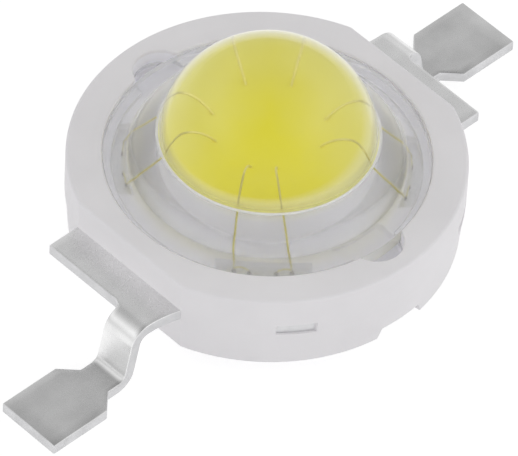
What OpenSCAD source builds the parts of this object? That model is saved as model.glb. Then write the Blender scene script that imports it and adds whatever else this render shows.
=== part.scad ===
// High-power light-emitting diode in a round lead-frame package with a clear dome lens.
// Millimetres. The origin is the centre of the thermal pad on the seating plane.
// +Z runs up the lens axis and the two leads point along +X and -X.

/* [Moulded body] */
// Outer diameter of the moulded body
body_d = 8; // [7.4:0.1:9]
// Height of the plastic's underside above the seating plane
standoff = 0.27; // [0.15:0.01:0.45]
// Height of the parting line, which is also the underside of the lead frame
parting_z = 1.17; // [1.05:0.01:1.4]
// How much the radius shrinks from the parting line down to the underside
draft_w = 0.06; // [0.02:0.01:0.12]
// Step outwards of the upper half over the lower half at the parting line
parting_step = 0.02; // [0.01:0.01:0.05]
// Chamfer around the top face
top_chamfer = 0.06; // [0.02:0.01:0.12]
// Width of the flat ring on the top face
rim_w = 0.72; // [0.6:0.02:0.9]
// Width of the ledge that carries the lens flange
ledge_w = 0.18; // [0.12:0.01:0.26]
// Thickness of plastic that covers the lead frame on the recess floor
floor_cover = 0.15; // [0.1:0.01:0.25]
// Height of the cavity between the recess floor and the lens flange
cavity_h = 0.18; // [0.14:0.01:0.3]

/* [Bonding windows and filling ports] */
// Length of each bonding window along its ring
window_w = 1.9; // [1.6:0.05:2.1]
// Radial length of each bonding window
window_len = 0.53; // [0.46:0.01:0.6]
// How far the lead frame runs under the inner edge of a window
window_lap = 0.05; // [0.02:0.01:0.1]
// Width of each gel filling port
port_w = 1.12; // [0.8:0.02:1.3]
// Plastic left outside each filling port
port_wall = 0.34; // [0.25:0.01:0.5]
// Width of the notch under the rim at each filling port, at its mouth
notch_w = 1.2; // [0.9:0.05:1.4]
// Slope inwards of each side of the notch
notch_slope_w = 0.1; // [0.02:0.01:0.2]
// Height of the notch under the rim
notch_h = 0.25; // [0.15:0.01:0.4]

/* [Leads] */
// Thickness of the lead sheet
lead_t = 0.25; // [0.2:0.01:0.3]
// Length over both leads
lead_span = 14.5; // [14:0.1:16]
// Width of the plate that leaves the body
plate_w = 3; // [2.6:0.05:3.4]
// How far the plate stands out of the body
plate_reach = 0.47; // [0.3:0.01:0.6]
// Width of the neck between plate and foot
neck_w = 0.8; // [0.6:0.02:1]
// Sideways offset of the neck and foot from the lead axis
neck_offset = 0.98; // [0.85:0.01:1.05]
// Fillet between the plate's edge and the neck
neck_fillet = 0.13; // [0.05:0.01:0.2]
// Width of the solder foot
foot_w = 1.5; // [1.2:0.05:1.8]
// Length of the solder foot at its full width
foot_len = 1.4; // [1.1:0.05:1.6]
// Inside radius of both bends
bend_r = 0.2; // [0.12:0.01:0.26]
// Angle of the leg between the two bends
bend_angle = 78; // [66:1:84]
// Half angle of the ring of lead frame inside the body
arm_angle = 66; // [64.5:0.5:70]
// Lead frame outside the bonding windows inside the body
arm_edge = 0.35; // [0.25:0.01:0.42]
// Width of each trimmed tie bar
tie_w = 0.66; // [0.5:0.02:0.8]
// Distance of each tie bar from the middle of the body
tie_x = 2.27; // [2.1:0.01:2.4]
// Depth of the trimmed tie bar ends below the plastic
tie_recess = 0.04; // [0.02:0.01:0.08]

/* [Heat slug] */
// Diameter of the thermal pad
slug_d = 5.8; // [5.4:0.1:6.2]
// Thickness of the slug's base
slug_base_h = 0.72; // [0.6:0.02:0.85]
// Plastic web between the slug's boss and the lead frame
web_w = 0.15; // [0.1:0.01:0.25]
// How far the boss stays below the recess floor
boss_drop = 0.05; // [0.02:0.01:0.1]
// Height of the pedestal that lifts the reflector cup towards the dome's centre
pedestal_h = 0.8; // [0.7:0.01:0.86]
// Wall of the pedestal around the cup's rim
pedestal_wall = 0.27; // [0.2:0.01:0.3]
// Diameter of the reflector cup at its rim
cup_rim_d = 3.16; // [3:0.02:3.3]
// Diameter of the reflector cup at its floor
cup_floor_d = 2.3; // [2.1:0.05:2.6]
// Depth of the reflector cup
cup_depth = 0.45; // [0.38:0.01:0.5]

/* [Die and wires] */
// Side of the square die
die_w = 1.2; // [1:0.02:1.3]
// Thickness of the die
die_t = 0.12; // [0.1:0.01:0.16]
// Thickness of the bond layer under the die
die_bond_t = 0.02; // [0.01:0.01:0.04]
// Margin of the bond layer around the die
die_bond_margin = 0.05; // [0.02:0.01:0.1]
// Height of the crown on the phosphor fill
phosphor_crown_h = 0.45; // [0.35:0.01:0.5]
// Bare rim of the pedestal left around the crown
crown_inset = 0.03; // [0.01:0.01:0.06]
// Diameter of the bond wires
wire_d = 0.06; // [0.04:0.005:0.07]
// Diameter of each bond on a wire
bump_d = 0.1; // [0.08:0.005:0.12]
// Height of each bond on a wire
bump_h = 0.05; // [0.04:0.005:0.07]
// Distance of each corner's bonds from the die's corner
corner_inset = 0.33; // [0.3:0.01:0.38]
// Spacing of the two bonds on one corner of the die
corner_pitch = 0.34; // [0.3:0.01:0.38]
// Angle of a wire's first bond from the middle of its window
first_bond_angle = 11.8; // [10:0.1:13]
// Angle of a wire's safety bond from the middle of its window
safety_bond_angle = 5.4; // [4:0.1:6.5]
// Distance of the bonds on the lead from the cavity's wall
bond_inset = 0.2; // [0.15:0.01:0.25]
// Height of the control point that starts a wire upwards from the die
rise_h = 0.53; // [0.45:0.01:0.6]
// Distance of a wire's crest from the axis, as a part of the lens hollow's radius
crest_part = 0.7; // [0.66:0.01:0.72]
// Sideways place of a wire's crest, as a part of its bond's sideways place
crest_side_part = 0.73; // [0.6:0.01:0.8]
// Height of a wire's crest above the dome's centre
crest_lift = 0.55; // [0.45:0.01:0.6]
// Half length of the level stretch over a wire's crest
crest_len = 0.4; // [0.36:0.01:0.42]
// Distance of the control point where a wire falls to the lead, as a part of the lens hollow's radius
fall_part = 0.9; // [0.88:0.01:0.92]
// Height of that control point below the dome's centre
fall_drop = 0.19; // [0.15:0.01:0.25]
// Sideways lean of each wire from the first to the eighth
wire_leans = [0, 0.12, 0, 0, 0, -0.25, 0, 0];
// Height of the small loop to the safety bond
hop_h = 0.16; // [0.1:0.01:0.2]

/* [Lens] */
// Radius of the dome
dome_r = 2.21; // [2:0.01:2.3]
// Height of the dome's centre above the body's top face
dome_lift = 0.37; // [0.3:0.01:0.5]
// Height of the dome's rim above the body's top face
rim_lift = 0.62; // [0.55:0.01:0.75]
// Width of the lip around the foot of the dome
lip_w = 0.06; // [0.02:0.01:0.1]
// Width of the flat flange outside the shoulder
flange_w = 0.49; // [0.4:0.01:0.6]
// Height of the shoulder's foot above the body's top face
shoulder_lift = 0.25; // [0.1:0.01:0.35]
// Thickness of the lens flange
flange_t = 0.3; // [0.24:0.01:0.4]
// How far the flange stays below the body's top face
flange_drop = 0.05; // [0.02:0.01:0.1]
// Clearance between the flange and the recess
flange_clear = 0.05; // [0.02:0.01:0.08]
// Wall of the hollow dome
lens_wall = 0.25; // [0.23:0.01:0.27]
// Wall of the shoulder above the flange
skirt_wall = 0.16; // [0.12:0.01:0.2]
// How much wider the hollow is at the underside of the flange than at the shoulder
skirt_flare_w = 0.14; // [0.1:0.01:0.2]
// Upright wall of the shoulder at its foot
shoulder_wall = 0.23; // [0.18:0.01:0.3]
// How far below the dome's rim its hollow starts to widen
widen_drop = 0.04; // [0.02:0.01:0.08]

/* [Hidden] */
$fn = 96;

// Small overshoot of cutters past a face
over = 0.5;

// Radii worked inwards from the body's outside
body_r = body_d / 2;
recess_r = body_r - rim_w;
cavity_r = recess_r - ledge_w;
window_in_r = cavity_r - window_len;
arm_in_r = window_in_r - window_lap;
arm_out_r = cavity_r + arm_edge;
boss_r = arm_in_r - web_w;
flange_r = recess_r - flange_clear;
port_reach = body_r - port_wall;
bond_r = cavity_r - bond_inset;
pedestal_r = cup_rim_d / 2 + pedestal_wall;

// Heights stacked upwards from the seating plane
lead_top = parting_z + lead_t;
floor_z = lead_top + floor_cover;
ledge_z = floor_z + cavity_h;
flange_top = ledge_z + flange_t;
body_top = flange_top + flange_drop;
boss_top = floor_z - boss_drop;
cup_top = boss_top + pedestal_h;
cup_z = cup_top - cup_depth;
die_z = cup_z + die_bond_t;
die_top = die_z + die_t;

// Lens sizes
dome_z = body_top + dome_lift;
rim_z = body_top + rim_lift;
rim_r = sqrt(dome_r * dome_r - pow(rim_z - dome_z, 2));
lip_r = rim_r + lip_w;
shoulder_r = flange_r - flange_w;
shoulder_z = body_top + shoulder_lift;
hollow_r = dome_r - lens_wall;
hollow_foot_z = rim_z - widen_drop;
hollow_foot_r = sqrt(hollow_r * hollow_r - pow(hollow_foot_z - dome_z, 2));
skirt_r = shoulder_r - skirt_wall;
skirt_top = shoulder_z - shoulder_wall;

// Lead places along the lead axis, measured from the middle of the body
plate_x = body_r + plate_reach;
foot_x = lead_span / 2;
flare_end = foot_x - foot_len;
flare_start = flare_end - (foot_w - neck_w) / 2;
arm_start = arm_in_r * cos(arm_angle) / 2;
bend_out_r = bend_r + lead_t;
drop = parting_z;
bend_drop = (bend_r + bend_out_r) * (1 - cos(bend_angle));
leg = (drop - bend_drop) / sin(bend_angle);
bend_run = (bend_r + bend_out_r) * sin(bend_angle) + leg * cos(bend_angle);

// Points on an arc about a centre, from one angle to another
function arc(centre, r, from, to, steps = 8) =
    [for (k = [0:steps]) let (a = from + (to - from) * k / steps) centre + r * [cos(a), sin(a)]];

// A quarter of a turn apart, starting at 45 degrees: the four bonding windows
module at_windows() {
    for (a = [45:90:315]) rotate(a) children();
}

// The two filling ports lie square to the lead axis
module at_ports() {
    for (a = [90, 270]) rotate(a) children();
}

// A stretch of one bonding window's opening, drawn on +X
module window_opening(low, high) {
    translate([0, 0, low]) intersection() {
        translate([window_in_r, -window_w / 2, 0])
            cube([cavity_r - window_in_r + over, window_w, high - low]);
        cylinder(r = cavity_r, h = high - low);
    }
}

// A filling port with a round outer end, drawn on +X
module port(low, high) {
    translate([0, 0, low]) {
        translate([port_reach - port_w / 2, 0, 0]) cylinder(d = port_w, h = high - low);
        translate([boss_r - web_w, -port_w / 2, 0])
            cube([port_reach - port_w / 2 - boss_r + web_w, port_w, high - low]);
    }
}

// A notch under the rim with sloping sides, drawn on +X from the slug outwards
module notch() {
    mouth = notch_w / 2;
    roof = mouth - notch_slope_w;
    translate([slug_d / 2, 0, standoff]) rotate([90, 0, 90]) linear_extrude(height = body_r)
        polygon([[-mouth, -standoff], [mouth, -standoff], [mouth, 0], [roof, notch_h],
                 [-roof, notch_h], [-mouth, 0]]);
}

// Half section of the moulded body's outside
module body_section() {
    polygon([
        [0, standoff],
        [body_r - parting_step - draft_w, standoff],
        [body_r - parting_step, parting_z],
        [body_r, parting_z],
        [body_r, body_top - top_chamfer],
        [body_r - top_chamfer, body_top],
        [0, body_top]
    ]);
}

// White moulded body with the lens recess, bonding windows, filling ports and the lead frame's own slots
module housing() {
    color("whitesmoke") difference() {
        rotate_extrude() body_section();
        translate([0, 0, ledge_z]) cylinder(r = recess_r, h = body_top);
        translate([0, 0, floor_z]) cylinder(r = cavity_r, h = body_top);
        at_windows() window_opening(lead_top, floor_z + over / 2);
        at_ports() difference() {
            port(lead_top, body_top + over);
            cylinder(r = boss_r, h = floor_z);
        }
        slug_envelope();
        at_ports() notch();
        lead_blank();
        rotate(180) lead_blank();
    }
}

// Outside of the heat slug, which is also its seat in the body
module slug_envelope() {
    cylinder(d = slug_d, h = slug_base_h);
    cylinder(r = boss_r, h = boss_top);
    translate([0, 0, boss_top]) cylinder(r = boss_r, h = over);
}

// Column that carries the reflector cup
module pedestal() {
    cylinder(r = pedestal_r, h = cup_top);
}

// Plated copper slug: the thermal pad below, the boss, and the pedestal with its reflector cup
module heat_slug() {
    color("silver") difference() {
        union() {
            cylinder(d = slug_d, h = slug_base_h);
            cylinder(r = boss_r, h = boss_top);
            pedestal();
        }
        cup_space();
    }
}

// Conical space of the reflector cup
module cup_space() {
    translate([0, 0, cup_z])
        cylinder(d1 = cup_floor_d, d2 = cup_rim_d, h = cup_depth);
}

// Flat blank of the lead that points along +X, seen from above
module lead_plan() {
    neck_in = neck_offset - neck_w / 2;
    neck_out = neck_offset + neck_w / 2;
    // Plate, neck, flare and foot
    polygon(concat(
        [[arm_in_r, -plate_w / 2], [plate_x, -plate_w / 2]],
        arc([plate_x + neck_fillet, neck_in - neck_fillet], neck_fillet, 180, 90),
        [
            [flare_start, neck_in],
            [flare_end, neck_offset - foot_w / 2],
            [foot_x, neck_offset - foot_w / 2],
            [foot_x, neck_offset + foot_w / 2],
            [flare_end, neck_offset + foot_w / 2],
            [flare_start, neck_out],
            [plate_x, neck_out],
            [plate_x - 2 * (plate_w / 2 - neck_out), plate_w / 2],
            [arm_in_r, plate_w / 2]
        ]
    ));
    // Ring of lead frame that carries the two bonding pads
    difference() {
        intersection() {
            circle(r = arm_out_r);
            polygon([[0, 0], [body_d * cos(arm_angle), -body_d * sin(arm_angle)],
                     [body_d * 2, 0], [body_d * cos(arm_angle), body_d * sin(arm_angle)]]);
        }
        circle(r = arm_in_r);
    }
    // Trimmed tie bars
    intersection() {
        difference() {
            for (s = [-1, 1]) translate([tie_x - tie_w / 2, s > 0 ? 0 : -body_r]) square([tie_w, body_r]);
            circle(r = (arm_in_r + arm_out_r) / 2);
        }
        circle(r = body_r - tie_recess);
    }
}

// Side view of the bent sheet, X to the right and Z up: plate, two bends with a leg between them, and foot
module lead_side() {
    upper = [plate_x, parting_z - bend_r];
    lower = [plate_x + bend_run, bend_out_r];
    polygon(concat(
        [[arm_start, lead_top]],
        arc(upper, bend_out_r, 90, 90 - bend_angle),
        arc(lower, bend_r, 270 - bend_angle, 270),
        [[foot_x, lead_t], [foot_x, 0]],
        arc(lower, bend_out_r, 270, 270 - bend_angle),
        arc(upper, bend_r, 90 - bend_angle, 90),
        [[arm_start, parting_z]]
    ));
}

// Bent lead that points along +X: the flat blank carried along the side view
module lead_blank() {
    intersection() {
        linear_extrude(height = body_top) lead_plan();
        translate([0, body_r, 0]) rotate([90, 0, 0]) linear_extrude(height = body_d) lead_side();
    }
}

module anode_lead() {
    color("gainsboro") lead_blank();
}

module cathode_lead() {
    color("gainsboro") rotate(180) lead_blank();
}

module die_bond() {
    side = die_w + 2 * die_bond_margin;
    color("slategray") translate([-side / 2, -side / 2, cup_z]) cube([side, side, die_bond_t]);
}

module die() {
    color("steelblue") translate([-die_w / 2, -die_w / 2, die_z]) cube([die_w, die_w, die_t]);
}

// Cup filled to its rim, with a crown that spreads over the rim
module phosphor_body() {
    edge = pedestal_r - crown_inset;
    crown_r = (edge * edge + phosphor_crown_h * phosphor_crown_h) / (2 * phosphor_crown_h);
    rise = asin(edge / crown_r);
    rotate_extrude() polygon(concat(
        [[0, cup_z], [cup_floor_d / 2, cup_z], [cup_rim_d / 2, cup_top]],
        arc([0, cup_top + phosphor_crown_h - crown_r], crown_r, 90 - rise, 90)
    ));
}

module phosphor_fill() {
    color("gold") difference() {
        phosphor_body();
        die_bond();
        die();
        for (i = [1:8]) bond_wire(i);
    }
}

// A point at a distance and an angle from the axis
function polar(r, a, z) = [r * cos(a), r * sin(a), z];

// Point on a cubic curve with four control points
function cubic(p, t) =
    pow(1 - t, 3) * p[0] + 3 * pow(1 - t, 2) * t * p[1] + 3 * (1 - t) * t * t * p[2] + pow(t, 3) * p[3];

function unit(v) = v / norm(v);

// Direction of a path at one of its points
function heading(path, i) =
    unit(path[min(i + 1, len(path) - 1)] - path[max(i - 1, 0)]);

// Sideways directions along a path, each carried over from the one before with the least turn
function sideways(path, u, i = 0) =
    i == len(path) ? [] :
    let (t = heading(path, i), next = unit(u - (u * t) * t))
    concat([next], sideways(path, next, i + 1));

// Window angle and side of wire i: two wires to each window
function wire_window(i) = 45 + 90 * floor((i - 1) / 2);
function wire_side(i) = i % 2 == 0 ? 1 : -1;

// First bond on the die, second bond on the lead, and the safety bond beside it
function die_point(i) =
    let (a = wire_window(i), r = die_w / sqrt(2) - corner_inset)
    polar(r, a, die_top) + wire_side(i) * corner_pitch / 2 * [-sin(a), cos(a), 0];
function lead_point(i) = polar(bond_r, wire_window(i) + wire_side(i) * first_bond_angle, lead_top);
function safety_point(i) = polar(bond_r, wire_window(i) + wire_side(i) * safety_bond_angle, lead_top);

// Part of a bond's height at which its ball starts to narrow
waist_part = 0.7;
// Places along the wire's rise, along its fall and along its small loop
rise_places = [0.12, 0.26, 0.4, 0.55, 0.7, 0.85, 1];
fall_places = [0.1, 0.2, 0.3, 0.4, 0.5, 0.62, 0.75, 0.87, 0.96];
hop_places = [0.12, 0.3, 0.5, 0.7, 0.88];
wire_sides = 8;

// Rings along wire i, each a middle, a radius and the surface below it
// In order: ball, rise, fall, bond, small loop, safety bond
function wire_rings(i) =
    let (
        a = die_point(i),
        b = lead_point(i) + [0, 0, wire_d / 2],
        c = safety_point(i),
        neck = [0, 0, bump_h],
        waist = [0, 0, bump_h * waist_part],
        w = wire_window(i),
        out = hollow_r * [cos(w), sin(w), 0],
        across = wire_side(i) * [-sin(w), cos(w), 0],
        reach = bond_r * sin(first_bond_angle),
        lean = wire_leans[i - 1],
        ahead = crest_len * unit([b[0] - a[0], b[1] - a[1], 0]),
        crest_side = reach * crest_side_part + lean,
        crest = crest_part * out + crest_side * across + [0, 0, dome_z + crest_lift],
        turn = fall_part * out + (reach + lean) * across + [0, 0, dome_z - fall_drop],
        rise = [a + neck, a + [0, 0, rise_h], crest - ahead, crest],
        fall = [crest, crest + ahead, turn, b],
        hop = [b, b + [0, 0, hop_h], c + [0, 0, hop_h], c + neck]
    )
    concat(
        [[a, bump_d / 2, die_top], [a + waist, bump_d / 2, die_top], [a + neck, wire_d / 2, die_top]],
        [for (t = rise_places) [cubic(rise, t), wire_d / 2, die_top]],
        [for (t = fall_places) [cubic(fall, t), wire_d / 2, lead_top]],
        [[b, bump_d / 2, lead_top]],
        [for (t = hop_places) [cubic(hop, t), wire_d / 2, lead_top]],
        [[c + neck, wire_d / 2, lead_top], [c + waist, bump_d / 2, lead_top], [c, bump_d / 2, lead_top]]
    );

// Round tube through rings of a middle and a radius, pressed flat on the surface below each ring
module tube(rings, side) {
    n = len(rings);
    path = [for (r = rings) r[0]];
    us = sideways(path, side);
    points = [
        for (i = [0:n - 1], k = [0:wire_sides - 1])
            let (
                turn = 360 * (k + 0.5) / wire_sides,
                u = us[i],
                v = cross(heading(path, i), u),
                p = path[i] + rings[i][1] * (cos(turn) * u + sin(turn) * v)
            )
            [p[0], p[1], max(p[2], rings[i][2])]
    ];
    walls = [
        for (i = [0:n - 2], k = [0:wire_sides - 1])
            let (m = (k + 1) % wire_sides, low = i * wire_sides, high = low + wire_sides)
            each [[low + k, high + k, low + m], [low + m, high + k, high + m]]
    ];
    ends = [
        [for (k = [0:wire_sides - 1]) k],
        [for (k = [wire_sides - 1:-1:0]) (n - 1) * wire_sides + k]
    ];
    polyhedron(points, concat(walls, ends));
}

// Gold wire i with its ball on the die, its bond on the lead and its safety bond
module bond_wire(i) {
    run = lead_point(i) - die_point(i);
    color("goldenrod") tube(wire_rings(i), unit([-run[1], run[0], 0]));
}

// Hollow of the lens: a dome over a cone that follows the shoulder, and a steeper skirt below
module lens_hollow() {
    translate([0, 0, dome_z]) intersection() {
        sphere(r = hollow_r);
        translate([0, 0, hollow_foot_z - dome_z]) cylinder(r = dome_r, h = dome_r);
    }
    translate([0, 0, skirt_top]) cylinder(r1 = skirt_r, r2 = hollow_foot_r, h = hollow_foot_z - skirt_top);
    translate([0, 0, ledge_z])
        cylinder(r1 = skirt_r + skirt_flare_w, r2 = skirt_r, h = skirt_top - ledge_z);
}

// Clear silicone under the lens, cast round the wires and into the windows and ports
module gel_fill() {
    color("lightcyan", 0.4) difference() {
        union() {
            lens_hollow();
            translate([0, 0, floor_z]) cylinder(r = cavity_r, h = ledge_z - floor_z);
            translate([0, 0, boss_top]) cylinder(r = boss_r, h = floor_z - boss_top);
            at_windows() window_opening(lead_top, floor_z);
            at_ports() difference() {
                port(lead_top, ledge_z);
                cylinder(r = boss_r, h = floor_z);
            }
        }
        pedestal();
        phosphor_body();
        for (i = [1:8]) bond_wire(i);
    }
}

// Clear lens: flange, step, sloping shoulder, lip and dome over its hollow
module lens() {
    color("azure", 0.4) difference() {
        union() {
            translate([0, 0, ledge_z]) cylinder(r = flange_r, h = flange_t);
            translate([0, 0, ledge_z]) cylinder(r = shoulder_r, h = shoulder_z - ledge_z);
            translate([0, 0, shoulder_z]) cylinder(r1 = shoulder_r, r2 = lip_r, h = rim_z - shoulder_z);
            translate([0, 0, dome_z]) intersection() {
                sphere(r = dome_r);
                translate([0, 0, rim_z - dome_z]) cylinder(r = body_r, h = dome_r);
            }
        }
        lens_hollow();
    }
}

housing();
heat_slug();
anode_lead();
cathode_lead();
die_bond();
die();
phosphor_fill();
gel_fill();
lens();
for (i = [1:8]) bond_wire(i);
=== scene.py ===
"""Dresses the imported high-power light-emitting diode.

It has a moulded body, a heat slug, bent leads, phosphor, gold wires and a clear lens over gel.
"""

import bmesh
import bpy
import numpy as np
from bpy.props import FloatProperty, FloatVectorProperty, IntProperty, PointerProperty
from mathutils import Matrix, Vector


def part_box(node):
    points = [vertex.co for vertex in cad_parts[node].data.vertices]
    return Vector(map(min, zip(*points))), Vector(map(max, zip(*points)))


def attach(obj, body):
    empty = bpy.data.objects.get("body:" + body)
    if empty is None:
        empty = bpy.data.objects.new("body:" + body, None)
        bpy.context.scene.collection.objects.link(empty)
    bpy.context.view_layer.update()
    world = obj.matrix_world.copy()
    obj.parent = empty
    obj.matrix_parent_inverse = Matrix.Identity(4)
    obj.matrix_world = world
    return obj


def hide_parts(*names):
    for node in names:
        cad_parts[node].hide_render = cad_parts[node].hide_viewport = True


bl_info = {
    "name": "High-power LED",
    "version": (1, 0, 0),
    "blender": (4, 5, 0),
    "location": "View3D > Sidebar > LED",
    "description": "Builds the visible pieces of a light-emitting diode around its packed model",
    "category": "Object",
}

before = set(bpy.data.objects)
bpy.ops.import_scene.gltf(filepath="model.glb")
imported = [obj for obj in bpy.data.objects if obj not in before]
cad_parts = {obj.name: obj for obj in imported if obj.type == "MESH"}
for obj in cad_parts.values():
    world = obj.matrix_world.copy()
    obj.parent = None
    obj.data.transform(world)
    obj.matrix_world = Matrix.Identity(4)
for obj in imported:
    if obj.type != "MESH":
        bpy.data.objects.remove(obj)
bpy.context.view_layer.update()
BODY = "root"

# Lengths below are in millimetres and angles in degrees, about the lens axis from +X
MM = 0.001
FULL_TURN = 360.0
HALF_TURN = 180.0
QUARTER_TURN = 90.0
MERGE = 2e-4
TINY = 1e-9


def node_box(name):
    """Lowest and highest corner of a CAD node in millimetres."""
    low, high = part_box(name)
    return np.array(low) / MM, np.array(high) / MM


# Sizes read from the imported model
HOUSING_LOW, HOUSING_HIGH = node_box("housing")
LENS_LOW, LENS_HIGH = node_box("lens")
SLUG_HIGH = node_box("heat_slug")[1]
LEAD_HIGH = node_box("anode_lead")[1]
DIE_LOW, DIE_HIGH = node_box("die")
BODY_R = HOUSING_HIGH[0]
BODY_TOP = HOUSING_HIGH[2]
STANDOFF = HOUSING_LOW[2]
LEDGE_Z = LENS_LOW[2]
FLANGE_R = LENS_HIGH[0]
DOME_TOP = LENS_HIGH[2]
SLUG_R = SLUG_HIGH[0]
CUP_TOP = SLUG_HIGH[2]
LEAD_TOP = LEAD_HIGH[2]
FOOT_X = LEAD_HIGH[0]
DIE_TOP = DIE_HIGH[2]
DIE_W = DIE_HIGH[0] - DIE_LOW[0]

# Reaches of small rounds, and the steps in each round
CRISP = 0.005
SHARP = 0.01
SOFT = 0.02
ROUND_STEPS = 4
LONGEST_ROUND = 0.45

# Moulded body
LEAD_T = 0.25
PARTING_Z = LEAD_TOP - LEAD_T
PARTING_STEP = 0.02
DRAFT = 0.06
FLAT_X = 3.72
RECESS_R = 3.28
CAVITY_R = 3.10
BORE_R = 2.37
SEAT_Z = 0.72
FLOOR_Z = 1.57
TOP_ROUNDING = 1.4
RECESS_ROUNDING = 0.8
LEDGE_ROUND = 0.03
WINDOW_TURN = 45.0
WINDOW_IN = 2.57
WINDOW_HALF = 0.95
WINDOW_SUNK = 0.06
WINDOW_LIMIT = 30.0
PORT_CENTRE = 3.10
PORT_R = 0.56
PORT_LIMIT = 15.0
PORT_INSET = 0.05
NOTCH_MOUTH = 0.60
NOTCH_ROOF = 0.50
NOTCH_H = 0.25
TIE_IN = 1.94
TIE_OUT = 2.60
TIE_POCKET = 0.06
TIE_RECESS = 0.04
EDGE_RAMP = 0.25
EDGE_SAMPLES = 7

# Slug, cup and phosphor
BOSS_TOP = FLOOR_Z - 0.05
PAD_ROUND = 0.06
BOSS_ROUND = 0.05
RIM_ROUND = 0.04
CUP_RIM_R = 1.58
CUP_WALL = 0.27
CUP_FLOOR_R = 1.15
CUP_Z = CUP_TOP - 0.45
SLUG_SIDES = 192
CROWN_R = CUP_RIM_R + CUP_WALL - 0.03
CROWN_STEPS = 40
PHOSPHOR_SIDES = 144
THICK_R = 1.38
THICK_CENTRE = (-0.04, 0.07)
# Place, size and noise of the painted highlight on the phosphor
HIGHLIGHT_SIZE = 0.9
HIGHLIGHT_TURN = 45.0
HIGHLIGHT_SIDE = 2.2
HIGHLIGHT_END = 2.9
HIGHLIGHT_NOISE = 0.1
FILM_DOWN = 0.3
SEAL_FADE = 0.1
# Metal shares above the seat and on the column wall, kept low so these shaded walls look lighter:
# painted light
SEALED_METAL = 0.25
COLUMN_LIFT_START = BOSS_TOP + 0.1
COLUMN_LIFT_END = CUP_TOP - 0.2
COLUMN_LIFT_METAL = 0.2

# Lens
DOME_R = 2.21
DOME_Z = DOME_TOP - DOME_R
DOME_STEPS = 96
RIM_Z = BODY_TOP + 0.62
LIP_W = 0.04
LIP_ROUND = 0.015
STEP_ROUND = 0.16
STEP_LEAN = 0.06
SHOULDER_R = FLANGE_R - 0.49
SHOULDER_Z = BODY_TOP + 0.25
FLANGE_TOP = BODY_TOP - 0.05
# Height over which the painted light on the flange fades in
FLANGE_LIGHT_FADE = 0.12
LIP_LEVELS = tuple(RIM_Z + rise for rise in (-0.012, -0.004, 0.006, 0.025, 0.35))
SATIN_LEVELS = (RIM_Z - 0.06, RIM_Z + 0.02)
LIMB_SPAN = (0.6, 1.0)
GEL_GAP = 0.012
GEL_R = CAVITY_R - GEL_GAP
GEL_SUNK = 0.06

# Leads
PLATE_X = 4.47
PLATE_HALF = 1.5
PLATE_START = 3.2
NECK_MID = 0.98
NECK_HALF = 0.40
NECK_FILLET = 0.13
FOOT_HALF = 0.75
FOOT_LEN = 1.4
FOOT_PLACES = (5.36, 5.5, 5.56, 5.62, 5.68, 5.74, 5.79, 5.85, 6.2, 6.55, 6.9, FOOT_X)
BEND_R = 0.2
BEND_ANGLE = 78.0
BEND_RUN = 0.775
BEND_STEPS = 19
SUNK_STEPS = 4
PLATE_STEPS = 13
STRIP_COLUMNS = 9
WING_COLUMNS = 12
ARM_IN = 2.52
ARM_OUT = 3.30
ARM_ANGLE = 66.0
ARM_ROWS = 90
ARM_COLUMNS = 4
TIE_START = 2.55
TIE_ROWS = 7
TIE_COLUMNS = 4
STAMPED_ANGLE = 40.0
STAMPED_STEPS = 3
PAD_FADE = 0.04
# Fade and share of the lighter tone on the leg and on the plate
LEG_FADE = 0.25
PLATE_LIGHTER_SHARE = 0.65

# Wires
WIRES = 8
WIRE_SIDES = 12
BOND_R = CAVITY_R - 0.3
BOND_WIDTH = 2.4
BOND_HEIGHT = 2.0
BOND_SUNK = 20.0
BOND_ROWS = 9
BOND_SIDES = 16
FIRST_BOND_ANGLE = 11.8
SAFETY_BOND_ANGLE = 5.4
CORNER_INSET = 0.33
CORNER_PITCH = 0.34
HOLLOW_R = 1.96
RISE_H = 0.53
CREST_R = 0.7 * HOLLOW_R
CREST_SIDE_PART = 0.73
CREST_Z = DOME_Z + 0.55
CREST_LEN = 0.4
FALL_R = 0.9 * HOLLOW_R
FALL_Z = DOME_Z - 0.19
LEANS = (0.0, 0.12, 0.0, 0.0, 0.0, -0.25, 0.0, 0.0)
HOP_H = 0.16
RISE_STEPS = 40
FALL_STEPS = 48
HOP_STEPS = 28
# Heights over which the painted shade at the bonds gives way to the gold's own colour
BOND_SHADE_LEVELS = (LEAD_TOP + 0.06, LEAD_TOP + 0.09)

# Spans of a noise pattern over which a tone or a gloss changes
FLOW_SPAN = (0.35, 0.65)
CLOUD_SPAN = (0.35, 0.68)
GRAIN_SPAN = (0.3, 0.7)
# Depth below the top and fade of the recess whose plastic is painted whiter, as painted light
LIT_RECESS_DROP = 0.1
LIT_RECESS_FADE = 0.04

# Camera worked out from the photograph's perspective, for a picture of 518 by 456
PICTURE_W = 518
SENSOR_W = 36.0
CAMERA_TURN = -45.799
CAMERA_TILT = 46.724
CAMERA_ROLL = 3.293
CAMERA_FAR = 164.05
CAMERA_LOOK = (-1.503, -1.344, 2.1)
PIXELS_PER_MM = 50.94
CLIP_START = 0.001

# Levels of the soft light at three heights above the horizon, on four sides as the camera sees them
SKY_HEIGHTS = (0.0, 0.25, 0.6)
SKY_SIDES = (
    (0.0, (1.09, 1.10, 1.37)),
    (90.0, (0.63, 0.71, 0.80)),
    (180.0, (1.11, 0.71, 1.27)),
    (270.0, (1.28, 1.03, 0.70)),
)
SKY_TOP = 2.0
FLOOR_REACH = 1.0
FLOOR_DROP = 0.005
FLOOR_WHITE = 0.75
FLOOR_SHADE = 0.4
LIGHT_BOUNCES = 32
DIFFUSE_BOUNCES = 16


def inside(offset, edge):
    """1 within an edge on either side and 0 outside it, with a smooth step across the edge."""
    t = np.clip((edge + EDGE_RAMP - np.abs(offset)) / (2 * EDGE_RAMP), 0, 1)
    return t * t * (3 - 2 * t)


def fold(angles, period):
    """Signed distance in degrees from the nearest multiple of a period."""
    return (angles + period / 2) % period - period / 2


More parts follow.
